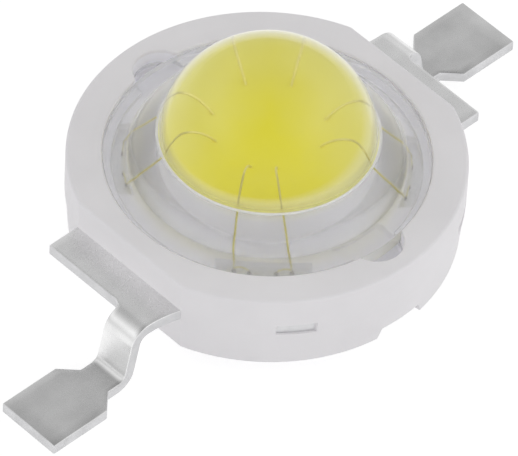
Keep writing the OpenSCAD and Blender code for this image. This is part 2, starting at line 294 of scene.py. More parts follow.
def squared(offset, moved, edge, limit):
    """Offsets stretched so that an edge lands on a moved edge, fading out at a limit.

    This keeps the sides of windows and ports parallel.
    """
    size = np.abs(offset)
    inner = size * moved / edge
    outer = moved + (size - edge) * (limit - moved) / (limit - edge)
    return np.sign(offset) * np.where(size <= edge, inner, np.where(size < limit, outer, size))


def soften(corners, reach):
    """Closed outlines with each corner turned into a parabola that leaves both sides at its reach.

    The first two values of a corner are radius and height, and any further value is carried along.
    """
    def pulled(other):
        gap = other - corners
        length = np.linalg.norm(gap[..., :2], axis=-1, keepdims=True)
        share = np.minimum(reach[:, None], LONGEST_ROUND * length) / np.maximum(length, TINY)
        return corners + gap * share

    start = pulled(np.roll(corners, 1, -2))[..., None, :]
    end = pulled(np.roll(corners, -1, -2))[..., None, :]
    middle = corners[..., None, :]
    t = np.linspace(0, 1, ROUND_STEPS + 1)[:, None]
    curve = (1 - t) ** 2 * start + 2 * t * (1 - t) * middle + t ** 2 * end
    return curve.reshape(*corners.shape[:-2], -1, corners.shape[-1])


def sections(keys):
    """Softened closed section at every angle, from keys of radius, height, angle and reach."""
    columns = [np.stack(np.broadcast_arrays(*key[:3]), -1) for key in keys]
    reach = np.array([key[3] for key in keys])
    return soften(np.stack(columns, 1), reach)


def turned(outline):
    """Points of outlines of radius, height and angle about Z: x = r cos a, y = r sin a, z = height."""
    r, z, a = outline[..., 0], outline[..., 1], np.radians(outline[..., 2])
    return np.stack([r * np.cos(a), r * np.sin(a), z], -1)


def even_angles(count):
    """Angles spread evenly over a full turn."""
    return np.arange(count) * FULL_TURN / count


def at_angles(profile, angles):
    """One outline of radius and height copied to every angle."""
    r, a = np.broadcast_arrays(profile[:, 0], angles[:, None])
    return np.stack([r, np.broadcast_to(profile[:, 1], r.shape), a], -1)


def grid(points, wrap_rows=False, wrap_columns=False):
    """A patch of points in rows and columns with its quads; either direction may close on itself."""
    rows, columns = points.shape[:2]
    i = np.arange(rows if wrap_rows else rows - 1)[:, None]
    j = np.arange(columns if wrap_columns else columns - 1)
    here = i * columns
    below = (i + 1) % rows * columns
    right = (j + 1) % columns
    quads = np.stack([here + j, here + right, below + right, below + j], -1)
    return points.reshape(-1, 3), quads.reshape(-1, 4)


def weigh_normals(mesh):
    """Vertex normals as the mean of the faces around, weighed by area.

    Flats stay flat beside small rounds that way.
    """
    count = len(mesh.polygons)
    area = np.empty(count)
    normal = np.empty(count * 3)
    total = np.empty(count, int)
    corner = np.empty(len(mesh.loops), int)
    mesh.polygons.foreach_get("area", area)
    mesh.polygons.foreach_get("normal", normal)
    mesh.polygons.foreach_get("loop_total", total)
    mesh.loops.foreach_get("vertex_index", corner)
    weighed = np.repeat(normal.reshape(-1, 3) * area[:, None], total, axis=0)
    summed = np.zeros((len(mesh.vertices), 3))
    np.add.at(summed, corner, weighed)
    length = np.linalg.norm(summed, axis=1, keepdims=True)
    mesh.normals_split_custom_set_from_vertices(summed / np.maximum(length, TINY ** 2))


def make_piece(name, patches, material, slot, *nodes, weighed=True):
    """One object from patches in millimetres that stands for CAD nodes.

    Doubles are merged, and faces look outwards and are smooth.
    """
    starts = np.cumsum([0] + [len(points) for points, quads in patches])
    points = np.concatenate([patch[0] for patch in patches]) * MM
    quads = np.concatenate([patch[1] + start for patch, start in zip(patches, starts)])
    mesh = bpy.data.meshes.new(name)
    mesh.from_pydata(points, [], quads)
    shape = bmesh.new()
    shape.from_mesh(mesh)
    bmesh.ops.remove_doubles(shape, verts=shape.verts, dist=MERGE * MM)
    bmesh.ops.recalc_face_normals(shape, faces=shape.faces)
    shape.to_mesh(mesh)
    shape.free()
    mesh.polygons.foreach_set("use_smooth", np.ones(len(mesh.polygons), bool))
    if weighed:
        weigh_normals(mesh)
    mesh.materials.append(material)
    piece = bpy.data.objects.new(name, mesh)
    bpy.context.scene.collection.objects.link(piece)
    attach(piece, BODY)
    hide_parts(*nodes)
    return piece


def port_outline(offset):
    """Radius of a filling port's round end at an angle from its middle.

    It is the far crossing of a ray from the axis with the port's circle.
    """
    turn = np.radians(offset)
    across = PORT_CENTRE * np.sin(turn)
    return PORT_CENTRE * np.cos(turn) + np.sqrt(np.maximum(PORT_R ** 2 - across ** 2, 0))


def angle_of(half, r):
    """Angle in degrees at which a line parallel to a ray, half a width away, crosses a radius."""
    return np.degrees(np.arcsin(half / r))


def angle_at(x):
    """Angle in degrees at which the body's side reaches a distance along the lead axis."""
    return np.degrees(np.arccos(x / BODY_R))


PORT_EDGE = angle_of(PORT_R, PORT_CENTRE - PORT_INSET)
WINDOW_EDGE = angle_of(WINDOW_HALF, CAVITY_R)
NOTCH_EDGES = (angle_of(NOTCH_MOUTH, BODY_R), angle_of(NOTCH_ROOF, BODY_R))
TIE_LOW = angle_at(TIE_OUT)
TIE_HIGH = angle_at(TIE_IN)
FLAT_EDGE = angle_at(FLAT_X)


def sample_angles(count):
    """Evenly spread angles, with more across the edges of windows, ports, notches, ties and flats."""
    groups = (
        (WINDOW_TURN, QUARTER_TURN, [WINDOW_EDGE]),
        (QUARTER_TURN, HALF_TURN, [PORT_EDGE, *NOTCH_EDGES]),
        (0.0, HALF_TURN, [TIE_LOW, TIE_HIGH, FLAT_EDGE]),
    )
    angles = [even_angles(count)]
    for first, period, edges in groups:
        middles = np.arange(first, FULL_TURN, period)
        both = np.outer([-1, 1], edges).ravel()
        steps = EDGE_RAMP * np.linspace(-1, 1, EDGE_SAMPLES)
        angles.append(np.add.outer(np.add.outer(middles, both), steps).ravel())
    return np.unique(np.round(np.concatenate(angles) % FULL_TURN, 4))


def housing_outline(angles, rounding):
    """Closed section of the moulded body at every angle, as radius, height and angle.

    The underside, the drafted side, the parting step, the top ring, the recess, the ledge, the cavity,
    the bonding window or filling port, the bore and the slug's seat follow one another.
    """
    window = fold(angles - WINDOW_TURN, QUARTER_TURN)
    port = fold(angles - QUARTER_TURN, HALF_TURN)
    side = fold(angles, HALF_TURN)
    in_window = inside(window, WINDOW_EDGE)
    in_port = inside(port, PORT_EDGE)
    in_tie = inside(np.abs(side) - (TIE_LOW + TIE_HIGH) / 2, (TIE_HIGH - TIE_LOW) / 2)
    mouth, roof = NOTCH_EDGES
    in_notch = np.clip((mouth - np.abs(port)) / (mouth - roof), 0, 1)

    under = STANDOFF + NOTCH_H * in_notch
    low_r = BODY_R - PARTING_STEP
    bottom_r = low_r - DRAFT * (PARTING_Z - under) / (PARTING_Z - STANDOFF)
    tie_r = BODY_R - TIE_POCKET * in_tie
    at_port = np.abs(port) < PORT_EDGE
    recess = np.where(at_port, np.maximum(port_outline(port), RECESS_R), RECESS_R)
    ledge = np.where(at_port, np.clip(port_outline(port), CAVITY_R, recess), CAVITY_R)
    floor = FLOOR_Z + in_port * (LEAD_TOP - FLOOR_Z)
    sunk = floor + in_window * (LEAD_TOP - WINDOW_SUNK - FLOOR_Z)

    def beside(r):
        """Turn of the angles at a radius that keeps the sides of the ports parallel."""
        return squared(port, angle_of(PORT_R, r), PORT_EDGE, PORT_LIMIT) - port

    def flatted(r):
        """Radius of the side where a flat above or below a plate cuts it: r cos a is constant there."""
        return np.minimum(r, (FLAT_X - BODY_R + r) / np.maximum(np.cos(np.radians(side)), TINY))

    inner_edge = np.degrees(np.arctan2(WINDOW_HALF, WINDOW_IN))
    straight = squared(window, inner_edge, WINDOW_EDGE, WINDOW_LIMIT)
    window_r = WINDOW_IN / np.cos(np.radians(np.clip(straight, -inner_edge, inner_edge)))
    window_a = angles + (straight - window) + beside(WINDOW_IN)
    bore_a = angles + (straight - window) + beside(BORE_R)

    return sections([
        (SLUG_R, under, angles, SHARP),
        (flatted(bottom_r), under, angles, rounding),
        (flatted(low_r), PARTING_Z - CRISP, angles, CRISP),
        (flatted(BODY_R), PARTING_Z, angles, SHARP),
        (flatted(tie_r), PARTING_Z + CRISP, angles, CRISP),
        (flatted(tie_r), LEAD_TOP - CRISP, angles, CRISP),
        (flatted(BODY_R), LEAD_TOP, angles, CRISP),
        (flatted(BODY_R), BODY_TOP, angles, rounding * TOP_ROUNDING),
        (recess, BODY_TOP, angles, rounding * RECESS_ROUNDING),
        (recess, LEDGE_Z, angles, LEDGE_ROUND),
        (ledge, LEDGE_Z, angles, SOFT),
        (ledge, sunk, angles, SOFT),
        (window_r, sunk, window_a, SOFT),
        (window_r, floor, window_a, SOFT),
        (BORE_R, floor, bore_a, SOFT),
        (BORE_R, SEAT_Z, angles, SHARP),
        (SLUG_R, SEAT_Z, angles, SHARP),
    ])


def slug_outline(angles):
    """Closed section of the slug at every angle: thermal pad, boss, column and the cup in its top."""
    column_r = CUP_RIM_R + CUP_WALL
    return sections([
        (TINY, 0.0, angles, 0.0),
        (SLUG_R, 0.0, angles, PAD_ROUND),
        (SLUG_R, SEAT_Z, angles, SOFT),
        (BORE_R, SEAT_Z, angles, SOFT),
        (BORE_R, BOSS_TOP, angles, BOSS_ROUND),
        (column_r, BOSS_TOP, angles, BOSS_ROUND),
        (column_r, CUP_TOP, angles, RIM_ROUND),
        (CUP_RIM_R, CUP_TOP, angles, SOFT),
        (CUP_FLOOR_R, CUP_Z, angles, SOFT),
        (TINY, CUP_Z, angles, 0.0),
    ])


def lens_outline(angles, rounding):
    """Open section of the lens and the gel under it, from the dome's top to the gel's underside.

    The dome is an arc of a circle; lip, shoulder, step and flange follow, and then the gel, which fills
    the cavity and the ports. It stands just off the moulding and sinks a little into the cup.
    """
    port = fold(angles - QUARTER_TURN, HALF_TURN)
    at_port = np.abs(port) < PORT_EDGE
    gel = np.where(at_port, np.maximum(port_outline(port) - GEL_GAP, GEL_R), GEL_R)
    column = CUP_RIM_R + CUP_WALL - GEL_SUNK
    flange = RECESS_R - GEL_GAP
    rim_angle = np.arcsin((RIM_Z - DOME_Z) / DOME_R)
    rise = np.linspace(np.pi / 2, rim_angle, DOME_STEPS)[:-1]
    dome = np.stack([DOME_R * np.cos(rise), DOME_Z + DOME_R * np.sin(rise)], -1)
    rim_r = DOME_R * np.cos(rim_angle)
    closed = sections([
        (rim_r, RIM_Z, angles, LIP_ROUND),
        (rim_r + LIP_W, RIM_Z, angles, SOFT),
        (SHOULDER_R - STEP_LEAN, SHOULDER_Z, angles, STEP_ROUND),
        (SHOULDER_R + STEP_LEAN, FLANGE_TOP, angles, STEP_ROUND),
        (flange, FLANGE_TOP, angles, rounding),
        (flange, LEDGE_Z + GEL_GAP, angles, SHARP),
        (gel, LEDGE_Z + GEL_GAP, angles, SHARP),
        (gel, FLOOR_Z + GEL_GAP, angles, SHARP),
        (column, FLOOR_Z + GEL_GAP, angles, SHARP),
        (column, CUP_TOP - GEL_SUNK, angles, SHARP),
        (TINY, CUP_TOP - GEL_SUNK, angles, 0.0),
        (TINY, DOME_TOP, angles, 0.0),
        (dome[-1, 0], dome[-1, 1], angles, 0.0),
    ])
    # The last two corners only close the section, so that the lip's own corner is soft on both sides
    rest = closed[:, : -2 * (ROUND_STEPS + 1)]
    return np.concatenate([at_angles(dome, angles), rest], 1)


def lead_path():
    """Middle line of the bent sheet as x and height: plate, bend, leg, bend and foot."""
    middle = BEND_R + LEAD_T / 2
    sunk = np.linspace(PLATE_START, FLAT_X, SUNK_STEPS)
    plate = np.concatenate([sunk, np.linspace(FLAT_X, PLATE_X, PLATE_STEPS)[1:]])
    top, bottom = QUARTER_TURN, HALF_TURN + QUARTER_TURN
    upper = np.radians(np.linspace(top, top - BEND_ANGLE, BEND_STEPS)[1:])
    lower = np.radians(np.linspace(bottom - BEND_ANGLE, bottom, BEND_STEPS))
    foot = np.array(FOOT_PLACES)
    x = [plate, PLATE_X + middle * np.cos(upper), PLATE_X + BEND_RUN + middle * np.cos(lower), foot]
    z = [
        np.full_like(plate, LEAD_TOP - LEAD_T / 2),
        PARTING_Z - BEND_R + middle * np.sin(upper),
        BEND_R + LEAD_T + middle * np.sin(lower),
        np.full_like(foot, LEAD_T / 2),
    ]
    return np.concatenate(x), np.concatenate(z)


def lead_edges(x):
    """Lower and upper edge of the strip that runs from plate to foot, as y at each x."""
    flare_end = FOOT_X - FOOT_LEN
    flare_start = flare_end - (FOOT_HALF - NECK_HALF)
    flared = np.clip((x - flare_start) / (flare_end - flare_start), 0, 1)
    flare = flared * (FOOT_HALF - NECK_HALF)
    run = np.clip(PLATE_X + NECK_FILLET - x, 0, NECK_FILLET)
    fillet = NECK_FILLET - np.sqrt(NECK_FILLET ** 2 - run ** 2)
    neck_out = NECK_MID + NECK_HALF
    cut = np.clip((PLATE_X - x) / (PLATE_X - FLAT_X), 0, 1) ** 2 * (PLATE_HALF - neck_out)
    return NECK_MID - NECK_HALF - flare - fillet, neck_out + flare + cut


def sheet(x, y, z):
    """A patch through points whose x, y and height are spread over the same rows and columns."""
    return grid(np.stack(np.broadcast_arrays(x, y, z), -1))


def lead_sheets():
    """Middle surface of one lead: bent strip, plate beside it, ring under the windows and tie bars.

    The strip is ruled between its two edges along the bent path, the ring is a polar grid,
    and each tie bar is ruled between the ring and the body's side.
    """
    x, z = lead_path()
    low, high = lead_edges(x)
    y = low[:, None] + (high - low)[:, None] * np.linspace(0, 1, STRIP_COLUMNS)
    on_plate = x <= PLATE_X + TINY
    wing_y = np.linspace(-PLATE_HALF, low[on_plate][-1], WING_COLUMNS)
    angles = np.linspace(-ARM_ANGLE, ARM_ANGLE, ARM_ROWS)
    arm_r = np.linspace(ARM_IN, ARM_OUT, ARM_COLUMNS)
    ring = np.stack(np.broadcast_arrays(arm_r, z[0], angles[:, None]), -1)
    tie_x = np.linspace(TIE_IN, TIE_OUT, TIE_ROWS)
    tie_end = np.sqrt((BODY_R - TIE_RECESS) ** 2 - tie_x ** 2)
    tie_y = TIE_START + (tie_end - TIE_START)[:, None] * np.linspace(0, 1, TIE_COLUMNS)
    return [
        sheet(x[:, None], y, z[:, None]),
        sheet(x[on_plate][:, None], wing_y, z[0]),
        grid(turned(ring)),
        sheet(tie_x[:, None], -tie_y, z[0]),
        sheet(tie_x[:, None], tie_y, z[0]),
    ]


def half_turned(patches):
    """The same patches turned by half a turn about the lens axis."""
    return [(points * np.array([-1.0, -1.0, 1.0]), quads) for points, quads in patches]


def cubic(a, b, c, d, count):
    """Points on a cubic curve with four control points."""
    t = np.linspace(0, 1, count)[:, None]
    return (1 - t) ** 3 * a + 3 * (1 - t) ** 2 * t * b + 3 * (1 - t) * t ** 2 * c + t ** 3 * d


def tube(path, across, radius):
    """A round tube along a path; its rings lie on a sideways direction and on the normal of both."""
    heading = np.gradient(path, axis=0)
    heading /= np.linalg.norm(heading, axis=1, keepdims=True)
    flat = across - (heading @ across)[:, None] * heading
    flat /= np.linalg.norm(flat, axis=1, keepdims=True)
    upright = np.cross(heading, flat)
    a = np.arange(WIRE_SIDES)[:, None] * 2 * np.pi / WIRE_SIDES
    ring = np.cos(a) * flat[:, None, :] + np.sin(a) * upright[:, None, :]
    ends = np.repeat(path[[0, -1], None, :], WIRE_SIDES, 1)
    rows = [ends[:1], path[:, None, :] + radius * ring, ends[1:]]
    return grid(np.concatenate(rows), wrap_columns=True)


def bump(foot, radius, height):
    """A flattened ball that stands on a surface, from just below the surface to the top.

    Its section is r = R cos e and z = H sin e.
    """
    rise = np.radians(np.linspace(-BOND_SUNK, QUARTER_TURN, BOND_ROWS))
    profile = np.stack([radius * np.cos(rise), height * np.sin(rise)], -1)
    profile = np.concatenate([[[0.0, profile[0, 1]]], profile])
    points, quads = grid(turned(at_angles(profile, even_angles(BOND_SIDES))), wrap_rows=True)
    return points + foot, quads


def wire_patches(window, side, lean, radius):
    """One bond wire: ball on the die, cubic rise and fall over a crest, loop and safety bond."""
    a = np.radians(window)
    up = np.array([0.0, 0.0, 1.0])
    outwards = np.array([np.cos(a), np.sin(a), 0.0])
    sideways = side * np.cross(up, outwards)
    corner_r = DIE_W / np.sqrt(2) - CORNER_INSET
    ball = corner_r * outwards + CORNER_PITCH / 2 * sideways + DIE_TOP * up

    def on_lead(offset):
        turn = np.radians(window + side * offset)
        return np.array([BOND_R * np.cos(turn), BOND_R * np.sin(turn), LEAD_TOP])

    bond, safety = on_lead(FIRST_BOND_ANGLE), on_lead(SAFETY_BOND_ANGLE)
    foot = bond + radius * up
    run = (foot - ball) * (1 - up)
    heading = run / np.linalg.norm(run)
    reach = BOND_R * np.sin(np.radians(FIRST_BOND_ANGLE))
    crest = CREST_R * outwards + (reach * CREST_SIDE_PART + lean) * sideways + CREST_Z * up
    turn = FALL_R * outwards + (reach + lean) * sideways + FALL_Z * up
    rise = cubic(ball, ball + RISE_H * up, crest - CREST_LEN * heading, crest, RISE_STEPS)
    fall = cubic(crest, crest + CREST_LEN * heading, turn, foot, FALL_STEPS)
    hop = cubic(foot, foot + HOP_H * up, safety + HOP_H * up, safety, HOP_STEPS)
    hop_run = safety - bond
    hop_across = np.cross(up, hop_run / np.linalg.norm(hop_run))
    return [
        tube(np.concatenate([rise, fall[1:]]), np.cross(up, heading), radius),
        tube(hop, hop_across, radius),
        *(bump(place, BOND_WIDTH * radius, BOND_HEIGHT * radius) for place in (ball, bond, safety)),
    ]


def new_material(name):
    """A node material with its tree and its shader."""
    material = bpy.data.materials.new(name)
    material.use_nodes = True
    tree = material.node_tree
    return material, tree, tree.nodes["Principled BSDF"]


def add_node(tree, kind, **values):
    """One node with its properties and its inputs set by name."""
    node = tree.nodes.new(kind)
    for key, value in values.items():
        if hasattr(node, key):
            setattr(node, key, value)
        else:
            node.inputs[key.replace("_", " ").title()].default_value = value
    return node


def object_place(tree):
    """Place on the part in metres."""
    return add_node(tree, "ShaderNodeTexCoord").outputs["Object"]


def height_of(tree, vector):
    """Third value of a vector."""
    split = add_node(tree, "ShaderNodeSeparateXYZ")
    tree.links.new(vector, split.inputs[0])
    return split.outputs["Z"]


def levelled(tree, vector, shift=(0.0, 0.0)):
    """A vector with its height taken out and a shift in metres added."""
    flat = add_node(tree, "ShaderNodeVectorMath", operation="MULTIPLY_ADD")
    flat.inputs[1].default_value = (1.0, 1.0, 0.0)
    flat.inputs[2].default_value = (*shift, 0.0)
    tree.links.new(vector, flat.inputs[0])
    return flat.outputs["Vector"]


def along(tree, vector, direction, length=1.0):
    """How far a vector reaches in a level direction, as a share of a length."""
    a = np.radians(direction)
    node = add_node(tree, "ShaderNodeVectorMath", operation="DOT_PRODUCT")
    node.inputs[1].default_value = (np.cos(a) / length, np.sin(a) / length, 0.0)
    tree.links.new(vector, node.inputs[0])
    return node.outputs["Value"]


def joined(tree, operation, first, second):
    """The sum, product, larger one or power of two values, each an output or a plain number."""
    node = add_node(tree, "ShaderNodeMath", operation=operation)
    for value, target in zip((first, second), node.inputs):
        if isinstance(value, float):
            target.default_value = value
        else:
            tree.links.new(value, target)
    return node.outputs[0]


def mapped(tree, value, span, ends):
    """A value that runs between two ends while another one runs over a span."""
    node = add_node(
        tree, "ShaderNodeMapRange", from_min=span[0], from_max=span[1], to_min=ends[0], to_max=ends[1]
    )
    tree.links.new(value, node.inputs["Value"])
    return node.outputs["Result"]


def height_step(tree, levels, ends):
    """A value that runs between two ends while the height on the part runs over two levels."""
    return mapped(tree, height_of(tree, object_place(tree)), [level * MM for level in levels], ends)


def within(tree, radius, height, fade, above=False, centre=(0.0, 0.0)):
    """1 inside a radius about a centre and below or above a height, and 0 outside, with a fade."""
    flat = levelled(tree, object_place(tree), [-value * MM for value in centre])
    length = add_node(tree, "ShaderNodeVectorMath", operation="LENGTH")
    tree.links.new(flat, length.inputs[0])
    near = mapped(tree, length.outputs["Value"], (radius * MM, (radius + fade) * MM), (1.0, 0.0))
    level = height_step(tree, (height, height + fade), (0.0, 1.0) if above else (1.0, 0.0))
    return joined(tree, "MULTIPLY", near, level)


def noise(tree, size, detail):
    """A noise pattern on the part whose grains have a size in millimetres."""
    pattern = add_node(tree, "ShaderNodeTexNoise", scale=1 / (size * MM), detail=detail)
    tree.links.new(object_place(tree), pattern.inputs["Vector"])
    return pattern.outputs["Fac"]


def spread(tree, pattern, low, high):
    """A value that runs from low to high over the middle of a noise pattern."""
    return mapped(tree, pattern, GRAIN_SPAN, (low, high))


def blend_colours(tree, factor, span, first, second):
    """A colour that runs from a first to a second one while a factor runs over a span."""
    ramp = add_node(tree, "ShaderNodeValToRGB")
    for stop, place, colour in zip(ramp.color_ramp.elements, span, (first, second)):
        stop.position = place
        stop.color = (*colour, 1.0)
    tree.links.new(factor, ramp.inputs["Fac"])
    return ramp.outputs["Color"]


def broken_line(tree, factor, places, levels):
    """A grey level as a broken line through levels at places from 0 to 1."""
    ramp = add_node(tree, "ShaderNodeValToRGB")
    stops = ramp.color_ramp.elements
    for place in places[1:-1]:
        stops.new(place)
    for stop, level in zip(stops, levels):
        stop.color = (level, level, level, 1.0)
    tree.links.new(factor, ramp.inputs["Fac"])
    return ramp.outputs["Color"]


def mottled(tree, pattern, span, colour, darker, lighter):
    """A colour that varies with a pattern between a darker and a lighter tint of itself."""
    tints = [tuple(min(1.0, c * factor) for c in colour) for factor in (darker, lighter)]
    return blend_colours(tree, pattern, span, *tints)


def mix_colours(tree, factor, first, second):
    """A mix of two colour outputs by a factor; inputs 6 and 7 and output 2 are the colour ones."""
    node = add_node(tree, "ShaderNodeMix", data_type="RGBA")
    tree.links.new(factor, node.inputs["Factor"])
    tree.links.new(first, node.inputs[6])
    tree.links.new(second, node.inputs[7])
    return node.outputs[2]


def roughen(tree, shader, height, depth):
    """Bumps of a depth in millimetres on a shader's normal."""
    node = add_node(tree, "ShaderNodeBump", strength=1.0, distance=depth * MM)
    tree.links.new(height, node.inputs["Height"])
    tree.links.new(node.outputs["Normal"], shader.inputs["Normal"])


def plastic_material(colour, lit_under_gel):
    """White moulding compound: faint flow marks, a fine spark-eroded grain and a satin surface.

    In the recess under the lens its colour is whiter than outside: painted light that lifts the shade
    the lens and the recess walls leave there.
    """
    material, tree, shader = new_material("white_moulding_compound")
    flow = noise(tree, size=1.6, detail=4.0)
    grain = noise(tree, size=0.05, detail=2.0)
    open_tone = mottled(tree, flow, FLOW_SPAN, colour, darker=0.975, lighter=1.015)
    # Painted light: a whiter tone for the plastic in the recess under the lens
    lit_recess_tone = mottled(tree, flow, FLOW_SPAN, lit_under_gel, darker=0.985, lighter=1.01)
    lit_recess_mask = within(tree, PORT_CENTRE + PORT_R, BODY_TOP - LIT_RECESS_DROP, LIT_RECESS_FADE)
    tree.links.new(mix_colours(tree, lit_recess_mask, open_tone, lit_recess_tone), shader.inputs["Base Color"])
    tree.links.new(spread(tree, grain, low=0.42, high=0.55), shader.inputs["Roughness"])
    shader.inputs["Specular IOR Level"].default_value = 0.4
    roughen(tree, shader, grain, depth=0.0015)
    return material


def plating_material(name, colour, pad, lighter_leg, size, low, high):
    """Satin plating with a cloudy tone of a size, a fine grain, and a roughness from low to high.

    It is bright silver where it lies in the body. On the leg it takes a lighter tone than on the foot,
    and the plate takes part of that lighter tone.
    """
    material, tree, shader = new_material(name)
    cloud = noise(tree, size, detail=5.0)
    grain = noise(tree, size=0.03, detail=3.0)
    open_tone = mottled(tree, cloud, CLOUD_SPAN, colour, darker=0.9, lighter=1.06)
    pad_tone = mottled(tree, cloud, CLOUD_SPAN, pad, darker=0.97, lighter=1.02)
    lighter_leg_tone = mottled(tree, cloud, CLOUD_SPAN, lighter_leg, darker=0.95, lighter=1.03)
    in_body = within(tree, ARM_OUT, LEAD_TOP + LEAD_T, PAD_FADE)
    tone = mix_colours(tree, in_body, open_tone, pad_tone)
    over = height_step(tree, (LEAD_T, LEAD_T + LEG_FADE), (0.0, 1.0))
    under = height_step(tree, (PARTING_Z - LEG_FADE, PARTING_Z), (1.0, PLATE_LIGHTER_SHARE))
    leg = joined(tree, "MULTIPLY", over, under)
    tree.links.new(mix_colours(tree, leg, tone, lighter_leg_tone), shader.inputs["Base Color"])
    shader.inputs["Metallic"].default_value = 1.0
    tree.links.new(spread(tree, grain, low, high), shader.inputs["Roughness"])
    roughen(tree, shader, grain, depth=0.0002)
    return material


def slug_material(colour, matt, film):
    """Silver plating on the slug: satin on the thermal pad, and matt white and barely metallic above the
    seat, under the gel. This whiter, duller silver is partly painted light that lifts the shade on the
    column wall round the cup.

    A film of phosphor covers it around the cup's rim.
    """
    material, tree, shader = new_material("silver_plated_slug")
    cloud = noise(tree, size=0.8, detail=5.0)
    grain = noise(tree, size=0.03, detail=3.0)
    pad_tone = mottled(tree, cloud, CLOUD_SPAN, colour, darker=0.9, lighter=1.06)
    matt_tone = mottled(tree, cloud, CLOUD_SPAN, matt, darker=0.985, lighter=1.01)
    film_tone = mottled(tree, cloud, CLOUD_SPAN, film, darker=0.985, lighter=1.01)
    coated = height_step(tree, (CUP_TOP - FILM_DOWN, CUP_TOP), (0.0, 1.0))
    lit_under_gel_tone = mix_colours(tree, coated, matt_tone, film_tone)
    lit_under_gel = within(tree, SLUG_R, SEAT_Z, SEAL_FADE, above=True)
    tree.links.new(mix_colours(tree, lit_under_gel, pad_tone, lit_under_gel_tone), shader.inputs["Base Color"])
    # Painted light: the metal share falls above the seat and up the column so the shaded walls turn
    # lighter
    base_metal = height_step(tree, (SEAT_Z, SEAT_Z + SEAL_FADE), (1.0, SEALED_METAL))
    column_metal = height_step(tree, (COLUMN_LIFT_START, COLUMN_LIFT_END), (1.0, COLUMN_LIFT_METAL))
    tree.links.new(joined(tree, "MULTIPLY", base_metal, column_metal), shader.inputs["Metallic"])
    tree.links.new(spread(tree, grain, low=0.42, high=0.58), shader.inputs["Roughness"])
    roughen(tree, shader, grain, depth=0.0012)
    return material


def gold_material(colour, bond_shade):
    """Drawn gold with a fine uneven polish, and painted shade at the bonds: within a short height of the
    leads it turns nearly black.
    """
    material, tree, shader = new_material("drawn_gold")
    grain = noise(tree, size=0.04, detail=2.0)
    drawn_tone = mottled(tree, grain, GRAIN_SPAN, colour, darker=0.94, lighter=1.04)
    bond_shade_tone = mottled(tree, grain, GRAIN_SPAN, bond_shade, darker=0.94, lighter=1.04)
    # Painted shade: the gold near the leads, at the bonds, takes the dark colour
    above = height_step(tree, BOND_SHADE_LEVELS, (0.0, 1.0))
    tree.links.new(mix_colours(tree, above, bond_shade_tone, drawn_tone), shader.inputs["Base Color"])
    shader.inputs["Metallic"].default_value = 0.75
    tree.links.new(spread(tree, grain, low=0.45, high=0.6), shader.inputs["Roughness"])
    return material


def clear_material(settings):
    """Clear moulded lens and silicone as one optical body.

    The dome is polished and the skirt below is satin. White and yellow painted light is laid on the
    clear body: a white line on the lip is a painted highlight, white shares on the flange and just above
    the lip lift the shade there, the dome is whitened where it is seen at a slant to lift its dark edge,
    and just above the lip a yellow tint stands in for the phosphor seen there.
    """
    material, tree, shader = new_material("clear_lens_and_gel")
    lip_top, lip_end, glow_end = LIP_LEVELS[2:]
    # Painted light: a yellow tint in the clear body just above the lip, for the phosphor seen there
    fading = height_step(tree, (lip_top, glow_end), (1.0, 0.0))
    above_lip = height_step(tree, (lip_top, lip_end), (0.0, 1.0))
    glow = joined(tree, "MULTIPLY", fading, above_lip)
    tone = blend_colours(tree, glow, (0.0, 1.0), settings.clear, settings.glow)
    tree.links.new(tone, shader.inputs["Base Color"])
    shader.inputs["IOR"].default_value = settings.ior
    gloss = height_step(tree, SATIN_LEVELS, (settings.satin, settings.polish))
    tree.links.new(gloss, shader.inputs["Roughness"])

    # Painted light: white shares that cut the clear share on the flange, on the lip as a painted
    # highlight, just above the lip, and where the dome is seen at a slant
    lip_clear = 1.0 - settings.lip_highlight
    above_lip_clear = 1.0 - settings.painted_light
    shares = (1.0 - settings.flange_light, 1.0, 1.0, lip_clear, lip_clear, above_lip_clear, 1.0)
    heights = (FLANGE_TOP, FLANGE_TOP + FLANGE_LIGHT_FADE, *LIP_LEVELS)
    places = [(height - FLANGE_TOP) / (glow_end - FLANGE_TOP) for height in heights]
    height = height_step(tree, (FLANGE_TOP, glow_end), (0.0, 1.0))
    clear_share = broken_line(tree, height, places, shares)
    slant = add_node(tree, "ShaderNodeLayerWeight", blend=0.5).outputs["Facing"]
    limb = mapped(tree, slant, LIMB_SPAN, (1.0, 1.0 - settings.limb))
    tree.links.new(joined(tree, "MULTIPLY", clear_share, limb), shader.inputs["Transmission Weight"])
    return material


def highlight_share(tree):
    """How far the painted highlight on the fill reaches: along one diagonal and towards the front end,
    with noise.
    """
    place = object_place(tree)
    side = along(tree, place, HIGHLIGHT_TURN - QUARTER_TURN, HIGHLIGHT_SIDE * MM)
    end = along(tree, place, HIGHLIGHT_TURN, HIGHLIGHT_END * MM)
    highlight_reach = joined(tree, "ADD", joined(tree, "ABSOLUTE", side, 0.0), end)
    uneven = spread(tree, noise(tree, HIGHLIGHT_SIZE, detail=2.0), -HIGHLIGHT_NOISE, HIGHLIGHT_NOISE)
    return joined(tree, "ADD", highlight_reach, uneven)


def phosphor_material(colour, pale, edge):
    """Phosphor in silicone: a saturated yellow with a painted highlight in a paler yellow, and a paler
    tone where it thins over the rim.
    """
    material, tree, shader = new_material("phosphor_in_silicone")
    grain = noise(tree, size=0.03, detail=2.0)
    # Painted highlight: the paler colour laid over the yellow where the highlight reaches
    fill = blend_colours(tree, highlight_share(tree), (0.0, 1.0), colour, pale)
    thin = mottled(tree, grain, GRAIN_SPAN, edge, darker=0.97, lighter=1.02)
    thick = within(tree, THICK_R, DOME_TOP, CROWN_R - THICK_R, centre=THICK_CENTRE)
    tree.links.new(mix_colours(tree, thick, thin, fill), shader.inputs["Base Color"])
    tree.links.new(spread(tree, grain, low=0.55, high=0.75), shader.inputs["Roughness"])
    roughen(tree, shader, grain, depth=0.003)
    return material


